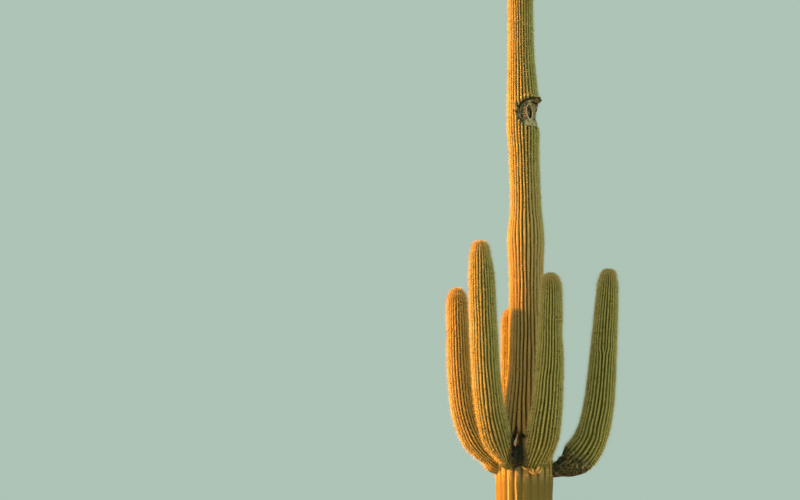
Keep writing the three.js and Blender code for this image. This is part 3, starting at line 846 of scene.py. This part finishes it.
def spines(place, size, tip, dice, each, tones):
    """Closed three-sided needles: radial ones spread over the rib, central ones stand out."""
    points, outward, upward, across = (part[:, None] for part in place)
    shape, number = (len(size), each), np.arange(each)
    central = (number >= each - 2) & (each > 3)
    tilt = np.where(central, CENTRAL.tilt, RADIAL.tilt) + dice.normal(0, 9, shape)
    tilt = tilt * (1 - 0.45 * tip[:, None])
    spin = number / (each - 2 if each > 3 else each) * 360 + dice.normal(0, 14, shape)
    spin = np.where(central, dice.uniform(60, 300, shape), spin)
    radial = RADIAL.length - RADIAL.shorter * np.abs(np.sin(np.radians(spin)))
    length = np.where(central, CENTRAL.length, radial)
    length = length * dice.uniform(0.65, 1.3, shape) * size[:, None]
    tilt, spin = np.radians(tilt)[..., None], np.radians(spin)[..., None]
    flat = upward * np.cos(spin) + across * np.sin(spin)
    direction = outward * np.cos(tilt) + flat * np.sin(tilt)
    base = points + outward * 0.0015 + flat * 0.0025
    helper = unit(np.cross(direction, outward + 0.3 * across))
    other = np.cross(direction, helper)
    width = np.where(central, CENTRAL.width, RADIAL.width)[None, :, None]
    corners = [
        base + (helper * math.cos(angle) + other * math.sin(angle)) * width
        for angle in (0, FULL_TURN / 3, 2 * FULL_TURN / 3)
    ]
    tips = base + direction * length[..., None]
    faces = [(0, 1, 3), (1, 2, 3), (2, 0, 3), (0, 2, 1)]
    return repeated(np.stack([*corners, tips], 2), faces, tones)


def dress(limb, stretches):
    """Felt pads and spines; each stretch is low, high, spacing, size, spines each, weights."""
    pads, needles, dice = [], [], limb.dice
    for low, high, spacing, size_here, each, weights in stretches:
        along, turn, place = areoles(limb, low, high, spacing)
        stain_and_shade = cleft_stain_and_shade(place[0])
        keep = limb.takes_spines(along, turn)
        keep = keep & (stain_and_shade < 0.5 + 0.4 * dice.random(len(along)))
        stain_and_shade, to_tip = stain_and_shade[keep], limb.length - along[keep]
        place, count = [part[keep] for part in place], len(stain_and_shade)
        tip = ease(0.3, 0.03, to_tip)
        size = size_here * dice.uniform(0.85, 1.15, count) * (1 + 0.25 * tip)
        size = size * (1 - 0.55 * ease(0.05, 0.0, to_tip)) * (1 - 0.6 * stain_and_shade)
        tone = dice.choice(len(SPINE_TONES), count, p=weights)
        tone = np.where(dice.random(count) < 0.9 * tip, TAN, tone)
        # Brown spines and dark felt in the cleft carry its staining and painted shade.
        tone = np.where(stain_and_shade > 0.42, BROWN, tone)
        felt = dice.choice(len(FELT_TONES), count, p=FELT_WEIGHTS) + 2 * (tone == BROWN)
        pads.append(felt_pads(place, PAD_HALF * size, np.minimum(felt, 2)))
        needles.append(spines(place, size, tip, dice, each, tone))
    return pads, needles


trunk = Trunk()
arms = [Arm(name, SEED + 1 + index) for index, name in enumerate(ARMS)]
for limb in (trunk, *arms):
    build_skin(limb)

# Shares of straw, tan, grey and brown spines
UPPER_WEIGHTS = (0.52, 0.25, 0.2, 0.03)
TRUNK_WEIGHTS = (0.5, 0.35, 0.13, 0.02)
LOWER_WEIGHTS = (0.2, 0.24, 0.38, 0.18)
DRESSED = {
    "trunk_low": [(trunk, [
        (0.25, 2.3, 0.048, 0.45, 3, LOWER_WEIGHTS),
        (2.3, 4.6, AREOLE_SPACING, 0.78, 8, TRUNK_WEIGHTS)])],
    "trunk_high": [(trunk, [(4.6, 7.981, AREOLE_SPACING, 0.78, 8, UPPER_WEIGHTS)])],
}
for side, members in {"left_arms": arms[:2], "right_arms": arms[2:]}.items():
    DRESSED[side] = [
        (arm, [(0.0, arm.length - 0.002, AREOLE_SPACING, 0.95, 8, UPPER_WEIGHTS)])
        for arm in members
    ]
for prefix, members in DRESSED.items():
    all_pads, all_needles = [], []
    for limb, stretches in members:
        pads, needles = dress(limb, stretches)
        all_pads += pads
        all_needles += needles
    joined_piece(prefix + "_felt", all_pads, FELT_TONES, limb.SLOT, smooth=False)
    joined_piece(prefix + "_spines", all_needles, SPINE_TONES, limb.SLOT, smooth=False)


# Callus rim round the nest hole, healed fold and dried bud, each from tapered strands
def strand(path, radii, flatness, facing, sides, rough, seed, closed=False):
    """A closed tube of changing radius along smoothed points, or a ring when closed."""
    centre, thick = np.array(path, float), np.array(radii, float)
    if closed:
        ahead = np.roll(centre, -1, 0) - np.roll(centre, 1, 0)
    else:
        places = np.arange(len(centre))
        shares = np.linspace(0, places[-1], STRAND_STEPS * places[-1] + 1)
        smooth = [
            along_stations(np.stack([places, values], 1), shares) for values in (*centre.T, thick)]
        centre = np.stack(smooth[:3], 1)
        ends = np.minimum(shares, shares[-1] - shares) / ROUND_END
        thick = smooth[3] * np.sqrt(np.clip(1 - np.clip(1 - ends, 0, 1) ** 2, 0.02, 1))
        ahead = np.gradient(centre, axis=0)
    ahead = unit(ahead)
    side = unit(np.cross(ahead, np.array(facing, float)))
    front = flatness * np.cross(side, ahead)[:, None]
    angle = (np.arange(sides) / sides * FULL_TURN)[None, :, None]
    ring = side[:, None] * np.cos(angle) + front * np.sin(angle)
    points = (centre[:, None] + thick[:, None, None] * ring).reshape(-1, 3)
    middle = np.repeat(centre, sides, 0)
    points = middle + (points - middle) * (1 + waves(points, rough, STRAND_SCALE, seed))[:, None]
    if closed:
        faces = grid_faces(len(centre) + 1, sides) % len(points)
    else:
        faces = tube_faces(len(centre), sides)
        points = np.vstack([points, centre[0], centre[-1]])
    return points, faces, np.zeros(len(faces))


def trunk_path(places):
    """Points that stand out from the trunk's girth, from bearings, heights and distances."""
    bearing, height, out = np.array(places, float).T
    radius, turn = along_stations(TRUNK_GIRTH, height) + out, np.radians(bearing)
    outward = np.stack([np.cos(turn), np.sin(turn), 0 * turn], 1)
    return trunk_axis(height) + radius[:, None] * outward


# The healed fold's strands and the swelling behind them: places and radii
FOLD_STRANDS = [
    ([(262.5, 2.396, 0.014), (267, 2.376, 0.028), (272, 2.366, 0.026)], (0.006, 0.009, 0.006)),
    ([(273, 2.372, 0.02), (279, 2.338, 0.034), (284, 2.322, 0.034)], (0.006, 0.01, 0.006)),
    ([(280, 2.386, 0.026), (281.5, 2.356, 0.04), (280.5, 2.335, 0.034)], (0.007, 0.01, 0.006)),
    ([(294.5, 2.412, 0.034), (290.5, 2.382, 0.052), (287, 2.346, 0.042)], (0.008, 0.014, 0.009)),
    ([(302, 2.402, 0.022), (297, 2.366, 0.038), (291.5, 2.328, 0.03)], (0.006, 0.009, 0.006)),
]
FOLD_BASES = [
    ([(268, 2.386, 0.004), (277, 2.362, 0.016), (287, 2.35, 0.018), (296, 2.38, 0.004)],
     (0.012, 0.026, 0.028, 0.016)),
    ([(276, 2.338, 0.014), (284, 2.33, 0.02), (290, 2.34, 0.014)], (0.012, 0.018, 0.012)),
]
FOLD_FACING, BUD_FACING = (0.2, -1, 0), (-0.3, -1, 0)
# The dried bud's column and petals, and the bearing and lean of its two edges
BUD_COLUMN = [
    (250, 2.405, 0.004), (249.5, 2.45, 0.022), (250, 2.51, 0.028), (250.5, 2.565, 0.03),
    (250, 2.61, 0.02)]
BUD_EDGES = ((243.5, -1.0), (256.5, 1.2))
PALE_PETAL = [
    (252.5, 2.72, 0.008), (251.5, 2.67, 0.036), (250.2, 2.625, 0.056), (250.6, 2.595, 0.046)]
BROWN_PETAL = [(252.8, 2.7, 0.018), (253.6, 2.645, 0.034), (253.0, 2.602, 0.036)]
STRAND_STEPS, ROUND_END = 10, 0.45
SLIVER = [(303.5, 6.026, -0.052), (303.0, 5.99, -0.046), (301.5, 5.958, -0.052)]
# Low, high and crack colours
CORK = {name: callus_material(name, *tones) for name, tones in {
    "callus_rim": ((0.56, 0.51, 0.34), (0.86, 0.8, 0.58), (0.1, 0.08, 0.05)),
    # The healed fold's bright orange strands are painted sunlight; the fold's shade material is
    # their painted shaded copy for the swelling behind.
    "healed_fold_skin": ((0.98, 0.61, 0.13), (1.0, 0.84, 0.36), (0.5, 0.18, 0.03)),
    "healed_fold_shade": ((0.48, 0.22, 0.05), (0.68, 0.38, 0.12), (0.14, 0.04, 0.005)),
    # The dried bud's near-black husk is partly its dark dried tissue and partly painted shade of
    # the cleft.
    "dried_bud_skin": ((0.016, 0.026, 0.02), (0.05, 0.068, 0.052), (0.005, 0.008, 0.006)),
    "dried_petal_pale": ((0.84, 0.7, 0.46), (0.96, 0.88, 0.66), (0.36, 0.24, 0.13)),
    "dried_petal_brown": ((0.2, 0.085, 0.04), (0.34, 0.16, 0.08), (0.04, 0.02, 0.01)),
}.items()}


def callus_rim():
    turns = np.linspace(0, FULL_TURN, RIM.places, endpoint=False)
    sine = np.array([math.sin(turn) for turn in turns])
    lateral = RIM.half_width * np.copysign(np.abs(sine) ** 1.25, sine)
    height = RIM.height + RIM.half_height * np.cos(turns)
    bearing = RIM.bearing + np.degrees(lateral / RIM.girth)
    path = trunk_path(np.stack([bearing, height, np.full(RIM.places, -RIM.inset)], 1))
    radii = RIM.tube * (1 + 0.18 * np.sin(turns * 3 + 1) + 0.12 * np.sin(turns * 7))
    outward = trunk_path([(RIM.bearing, RIM.height, 0)])[0] - axis_point(RIM.height)
    strands = [
        strand(path, radii, 1.2, outward, 12, 0.1, 21, closed=True),
        strand(trunk_path(SLIVER), [0.0035, 0.005, 0.0035], 1.0, outward, 8, 0.1, 22),
    ]
    joined_piece("nest_callus_rim", strands, [CORK["callus_rim"]], "callus", "nest_hole_collar")


def healed_fold():
    for name, table, skin, seed in (
        ("healed_fold", FOLD_STRANDS, "healed_fold_skin", 30),
        ("healed_fold_base", FOLD_BASES, "healed_fold_shade", 36),
    ):
        strands = [
            strand(trunk_path(places), radii, 0.85, FOLD_FACING, 12, 0.12, seed + number)
            for number, (places, radii) in enumerate(table)
        ]
        joined_piece(name, strands, [CORK[skin]], "healed_fold", "fold_under_right_front_arm")


def dried_bud():
    column_radii = (0.034, 0.03, 0.027, 0.028, 0.016)
    strands = [strand(trunk_path(BUD_COLUMN), column_radii, 0.8, BUD_FACING, 22, 0.22, 41)]
    for bearing, lean in BUD_EDGES:
        edge = trunk_path([
            (bearing, 2.42, 0.024), (bearing + 0.4 * lean, 2.5, 0.034),
            (bearing - lean, 2.58, 0.03)])
        strands.append(strand(edge, (0.011, 0.009, 0.007), 1.0, BUD_FACING, 10, 0.2, 42))
    joined_piece("dried_bud_husk", strands, [CORK["dried_bud_skin"]], "dried_tissue", "dried_bud")
    for tone, places, radii in (
        ("pale", PALE_PETAL, (0.004, 0.009, 0.016, 0.009)),
        ("brown", BROWN_PETAL, (0.008, 0.015, 0.01)),
    ):
        petal = strand(trunk_path(places), radii, 0.8, BUD_FACING, 12, 0.12, 45)
        skin = CORK["dried_petal_" + tone]
        joined_piece("bud_" + tone + "_petal", [petal], [skin], "dried_tissue")


callus_rim()
healed_fold()
dried_bud()

# Floor, light and camera
FLOOR_HALF = 60
SKY_LIGHT = (0.42, 0.55, 0.47)
SUN = Named(
    bearing=172.5, elevation=20, distance=60, height=4.0, size=4.9, power=68500, spread=100,
    colour=(0.9, 0.266, 0.022))
CAMERA = Named(place=(-1.231, -18.0, 1.6), pitch=9.436, lens=81, sensor=36, far=200)
corners = [(-1, -1), (1, -1), (1, 1), (-1, 1)]
floor_mesh = bpy.data.meshes.new("floor")
floor_mesh.from_pydata([(FLOOR_HALF * x, FLOOR_HALF * y, 0) for x, y in corners], [], [range(4)])
floor = add_object("floor", floor_mesh)
floor_mesh.materials.append(plain_material("floor_pale", (0.34, 0.46, 0.42), 0.9))

world = bpy.data.worlds.new("studio")
bpy.context.scene.world = world
world.use_nodes = True
world.node_tree.nodes["Background"].inputs["Color"].default_value = (*SKY_LIGHT, 1)
world.node_tree.nodes["Background"].inputs["Strength"].default_value = 1.0
bpy.context.scene.view_settings.view_transform = "Standard"


def soft_light(name, location, target, size, power, colour):
    """A disk light at the location that faces the target."""
    data = bpy.data.lights.new(name, "AREA")
    data.shape = "DISK"
    data.size = size
    data.energy = power
    data.color = colour
    made = add_object(name, data)
    made.location = location
    direction = np.array(target, float) - np.array(location, float)
    pitch = math.atan2(math.hypot(direction[0], direction[1]), -direction[2])
    turn = math.atan2(direction[1], direction[0]) - math.pi / 2
    made.rotation_euler = (pitch, 0, turn)
    return data


bearing, elevation = math.radians(SUN.bearing), math.radians(SUN.elevation)
to_sun = np.array([
    math.cos(elevation) * math.cos(bearing), math.cos(elevation) * math.sin(bearing),
    math.sin(elevation)])
sun_target = np.array([0, 0, SUN.height])
sun_place = (sun_target + SUN.distance * to_sun).tolist()
key = soft_light("key", sun_place, sun_target, SUN.size, SUN.power, SUN.colour)
key.spread = math.radians(SUN.spread)
soft_light("glow", (-6.5, -5, 9.5), (0, 0, 6.0), 3.0, 120, (1.0, 0.44, 0.07))
soft_light("fill", (11, -14, 6), (0, 0, 3.5), 7.0, 260, (0.9, 1.0, 0.66))

lens = bpy.data.cameras.new("camera")
lens.lens = CAMERA.lens
lens.sensor_width = CAMERA.sensor
lens.clip_end = CAMERA.far
camera = add_object("camera", lens)
camera.location = CAMERA.place
camera.rotation_euler = (math.radians(90 + CAMERA.pitch), 0, 0)
bpy.context.scene.camera = camera
